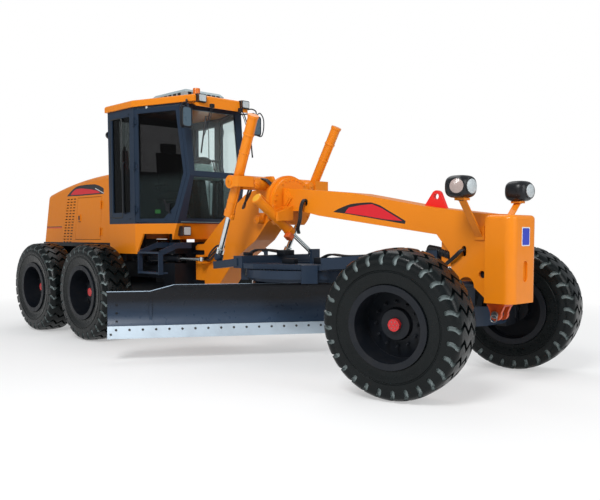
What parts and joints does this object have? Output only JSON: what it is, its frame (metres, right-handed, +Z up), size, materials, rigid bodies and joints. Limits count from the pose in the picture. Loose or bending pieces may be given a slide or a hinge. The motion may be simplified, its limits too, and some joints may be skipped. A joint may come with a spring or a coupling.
{
  "type": "motor grader",
  "caption": "Articulated road grader: rear engine under a hood, glazed cab, arched front beam, drawbar with a turning circle and a long angled blade, leaning steered front wheels.",
  "frame": {"origin": "on the ground under the middle of the machine's bounding box", "axes": "+X to the front of the machine, +Y to its left, +Z up"},
  "size_m": [8.8626, 3.3946, 3.455],
  "materials": {
    "body_yellow": "gloss",
    "dark_steel": "satin",
    "black_steel": "satin",
    "hub_red": "gloss",
    "tyre": "matt",
    "chrome": "polished",
    "glass": "clear",
    "edge_steel": "worn",
    "seat_fabric": "woven",
    "dark_plastic": "matt",
    "cast_grey": "rough"
  },
  "bodies": {
    "rear_frame": {"rear_frame": "dark_steel", "tandem_cases": "dark_steel", "engine_block": "cast_grey", "hood": "body_yellow", "cab_floor": "body_yellow", "cab_frame": "dark_steel", "cab_glass": "glass", "cab_roof": "body_yellow", "ac_unit": "dark_plastic", "seat": "seat_fabric", "console": "dark_plastic", "steps": "dark_steel"},
    "front_frame": {"front_frame": "body_yellow", "lifting_lug": "hub_red", "tow_lug": "hub_red", "saddle": "body_yellow", "lamp_arms": "body_yellow", "head_lamps": "dark_plastic", "front_axle": "dark_steel"},
    "lean_bar": {"lean_bar": "dark_steel"},
    "drawbar": {"drawbar": "dark_steel"},
    "circle": {"circle": "dark_steel"},
    "blade_carrier": {"blade_carrier": "dark_steel"},
    "blade": {"moldboard": "dark_steel", "cutting_edge": "edge_steel"},
    "tilt_barrel": {"tilt_barrel": "black_steel"},
    "tilt_rod": {"tilt_rod": "chrome"},
    "shift_barrel": {"shift_barrel": "body_yellow"},
    "shift_rod": {"shift_rod": "chrome"},
    "hood_door_left": {"hood_door_left": "body_yellow"},
    "cab_door_left": {"cab_door_left": "dark_steel", "door_glass_left": "glass"},
    "lift_barrel_left": {"lift_barrel_left": "body_yellow"},
    "lift_rod_left": {"lift_rod_left": "chrome"},
    "articulation_barrel_left": {"articulation_barrel_left": "black_steel"},
    "articulation_rod_left": {"articulation_rod_left": "chrome"},
    "fork_left": {"fork_left": "black_steel"},
    "knuckle_left": {"knuckle_left": "black_steel"},
    "wheel_front_left": {"tyre_front_left": "tyre", "rim_front_left": "black_steel"},
    "wheel_middle_left": {"tyre_middle_left": "tyre", "rim_middle_left": "black_steel"},
    "wheel_rear_left": {"tyre_rear_left": "tyre", "rim_rear_left": "black_steel"},
    "hood_door_right": {"hood_door_right": "body_yellow"},
    "cab_door_right": {"cab_door_right": "dark_steel", "door_glass_right": "glass"},
    "lift_barrel_right": {"lift_barrel_right": "body_yellow"},
    "lift_rod_right": {"lift_rod_right": "chrome"},
    "articulation_barrel_right": {"articulation_barrel_right": "black_steel"},
    "articulation_rod_right": {"articulation_rod_right": "chrome"},
    "fork_right": {"fork_right": "black_steel"},
    "knuckle_right": {"knuckle_right": "black_steel"},
    "wheel_front_right": {"tyre_front_right": "tyre", "rim_front_right": "black_steel"},
    "wheel_middle_right": {"tyre_middle_right": "tyre", "rim_middle_right": "black_steel"},
    "wheel_rear_right": {"tyre_rear_right": "tyre", "rim_rear_right": "black_steel"}
  },
  "joints": [
    {"name": "articulation", "type": "hinge", "parent": "rear_frame", "child": "front_frame", "pos_m": [-0.418, 0.25, 1.027], "axis": [0, 0, -1], "range_deg": [-25, 25]},
    {"name": "wheel_middle_left_turn", "type": "hinge", "parent": "rear_frame", "child": "wheel_middle_left", "pos_m": [-1.698, 1.3366, 0.6754], "axis": [0, 1, 0], "continuous": true},
    {"name": "wheel_rear_left_turn", "type": "hinge", "parent": "rear_frame", "child": "wheel_rear_left", "pos_m": [-3.238, 1.3366, 0.6754], "axis": [0, 1, 0], "continuous": true},
    {"name": "wheel_middle_right_turn", "type": "hinge", "parent": "rear_frame", "child": "wheel_middle_right", "pos_m": [-1.698, -0.8366, 0.6754], "axis": [0, 1, 0], "continuous": true},
    {"name": "wheel_rear_right_turn", "type": "hinge", "parent": "rear_frame", "child": "wheel_rear_right", "pos_m": [-3.238, -0.8366, 0.6754], "axis": [0, 1, 0], "continuous": true},
    {"name": "lean_right", "type": "hinge", "parent": "front_frame", "child": "fork_right", "pos_m": [3.7078, -0.38888, 0.6903], "axis": [1, 0, 0], "range_deg": [-25.23, 8.77]},
    {"name": "steer_right", "type": "hinge", "parent": "fork_right", "child": "knuckle_right", "pos_m": [3.7078, -0.70874, 0.69869], "axis": [0, -0.0845, 0.9964], "range_deg": [-57.65, 32.35]},
    {"name": "wheel_front_right_turn", "type": "hinge", "parent": "knuckle_right", "child": "wheel_front_right", "pos_m": [3.73596, -0.83377, 0.68808], "axis": [-0.219, 0.9722, 0.0825], "continuous": true},
    {"name": "lean_left", "type": "hinge", "parent": "front_frame", "child": "fork_left", "pos_m": [3.7078, 0.88889, 0.61479], "axis": [1, 0, 0], "range_deg": [-25.23, 8.77]},
    {"name": "steer_left", "type": "hinge", "parent": "fork_left", "child": "knuckle_left", "pos_m": [3.7078, 1.20275, 0.67695], "axis": [0, -0.0845, 0.9964], "range_deg": [-57.65, 32.35]},
    {"name": "wheel_front_left_turn", "type": "hinge", "parent": "knuckle_left", "child": "wheel_front_left", "pos_m": [3.67964, 1.32778, 0.68756], "axis": [-0.219, 0.9722, 0.0825], "continuous": true},
    {"name": "lean_bar_swing", "type": "hinge", "parent": "fork_right", "child": "lean_bar", "pos_m": [3.822, -0.41805, 1.03407], "axis": [1, 0, 0], "range_deg": [-9.77, 26.23]},
    {"name": "drawbar_lift", "type": "hinge", "parent": "front_frame", "child": "drawbar", "pos_m": [3.552, 0.25, 1.25], "axis": [0, 1, 0], "range_deg": [-16, 4.5]},
    {"name": "circle_turn", "type": "hinge", "parent": "drawbar", "child": "circle", "pos_m": [1.438, 0.25, 1.02], "axis": [0, 0, 1], "range_deg": [-20, 75]},
    {"name": "blade_tilt", "type": "hinge", "parent": "circle", "child": "blade_carrier", "pos_m": [1.16187, 0.4307, 0.56], "axis": [0.5476, 0.8368, 0], "range_deg": [-5, 40]},
    {"name": "blade_shift", "type": "slide", "parent": "blade_carrier", "child": "blade", "axis": [0.5476, 0.8368, 0], "range_m": [-0.203, 0.897]},
    {"name": "tilt_barrel_swing", "type": "hinge", "parent": "circle", "child": "tilt_barrel", "pos_m": [0.92757, 0.58401, 0.89], "axis": [0.5476, 0.8368, 0], "range_deg": [-3.88, 0.92]},
    {"name": "tilt_rod_stroke", "type": "slide", "parent": "tilt_barrel", "child": "tilt_rod", "axis": [0.759, -0.4966, -0.4211], "range_m": [-0.022, 0.14103]},
    {"name": "lift_barrel_left_swing", "type": "hinge", "parent": "front_frame", "child": "lift_barrel_left", "pos_m": [0.944, 0.885, 2.104], "axis": [0, 1, 0], "range_deg": [-16.83, 5.09]},
    {"name": "lift_rod_left_stroke", "type": "slide", "parent": "lift_barrel_left", "child": "lift_rod_left", "axis": [-0.4509, -0.0686, -0.89], "range_m": [-0.21929, 0.76691]},
    {"name": "lift_barrel_right_swing", "type": "hinge", "parent": "front_frame", "child": "lift_barrel_right", "pos_m": [0.944, -0.385, 2.104], "axis": [0, 1, 0], "range_deg": [-16.83, 5.09]},
    {"name": "lift_rod_right_stroke", "type": "slide", "parent": "lift_barrel_right", "child": "lift_rod_right", "axis": [-0.4509, 0.0686, -0.89], "range_m": [-0.21929, 0.76691]},
    {"name": "shift_barrel_swing", "type": "hinge", "parent": "front_frame", "child": "shift_barrel", "pos_m": [1.322, -0.121, 1.69], "axis": [1, 0, 0], "range_deg": [-24.6, 7.28]},
    {"name": "shift_rod_stroke", "type": "slide", "parent": "shift_barrel", "child": "shift_rod", "axis": [0, 0.8148, -0.5797], "range_m": [-0.13486, 0.46671]},
    {"name": "articulation_barrel_left_swing", "type": "hinge", "parent": "rear_frame", "child": "articulation_barrel_left", "pos_m": [-1.288, 0.68, 1.15], "axis": [0, 0, 1], "range_deg": [-2.7, 2.7]},
    {"name": "articulation_rod_left_stroke", "type": "slide", "parent": "articulation_barrel_left", "child": "articulation_rod_left", "axis": [0.9864, -0.1641, 0], "range_m": [-0.12598, 0.12598]},
    {"name": "articulation_barrel_right_swing", "type": "hinge", "parent": "rear_frame", "child": "articulation_barrel_right", "pos_m": [-1.288, -0.18, 1.15], "axis": [0, 0, 1], "range_deg": [-2.7, 2.7]},
    {"name": "articulation_rod_right_stroke", "type": "slide", "parent": "articulation_barrel_right", "child": "articulation_rod_right", "axis": [0.9864, 0.1641, 0], "range_m": [-0.12598, 0.12598]},
    {"name": "cab_door_left_swing", "type": "hinge", "parent": "rear_frame", "child": "cab_door_left", "pos_m": [-1.125, 1.025, 2.4], "axis": [0, 0, 1], "range_deg": [0, 85]},
    {"name": "cab_door_right_swing", "type": "hinge", "parent": "rear_frame", "child": "cab_door_right", "pos_m": [-1.125, -0.525, 2.4], "axis": [0, 0, -1], "range_deg": [0, 85]},
    {"name": "hood_door_left_swing", "type": "hinge", "parent": "rear_frame", "child": "hood_door_left", "pos_m": [-2.393, 0.865, 1.41], "axis": [-0.0926, 0, -0.9957], "range_deg": [0, 100]},
    {"name": "hood_door_right_swing", "type": "hinge", "parent": "rear_frame", "child": "hood_door_right", "pos_m": [-2.393, -0.365, 1.41], "axis": [0.0926, 0, 0.9957], "range_deg": [0, 100]}
  ],
  "couplings": [
    {"joint": "lean_left", "follows": "lean_right", "ratio": 1},
    {"joint": "steer_left", "follows": "steer_right", "ratio": 1},
    {"joint": "lean_bar_swing", "follows": "lean_right", "ratio": -1},
    {"joint": "tilt_barrel_swing", "follows": "blade_tilt", "ratio": -0.084511},
    {"joint": "tilt_rod_stroke", "follows": "blade_tilt", "m_per_rad": 0.19484},
    {"joint": "lift_barrel_left_swing", "follows": "drawbar_lift", "ratio": 1.0206},
    {"joint": "lift_rod_left_stroke", "follows": "drawbar_lift", "m_per_rad": -2.7284},
    {"joint": "lift_barrel_right_swing", "follows": "drawbar_lift", "ratio": 1.0206},
    {"joint": "lift_rod_right_stroke", "follows": "drawbar_lift", "m_per_rad": -2.7284},
    {"joint": "shift_barrel_swing", "follows": "drawbar_lift", "ratio": 1.506},
    {"joint": "shift_rod_stroke", "follows": "drawbar_lift", "m_per_rad": -1.6534},
    {"joint": "articulation_barrel_left_swing", "follows": "articulation", "ratio": -0.087922},
    {"joint": "articulation_rod_left_stroke", "follows": "articulation", "m_per_rad": 0.27726},
    {"joint": "articulation_barrel_right_swing", "follows": "articulation", "ratio": -0.087922},
    {"joint": "articulation_rod_right_stroke", "follows": "articulation", "m_per_rad": -0.27726}
  ]
}
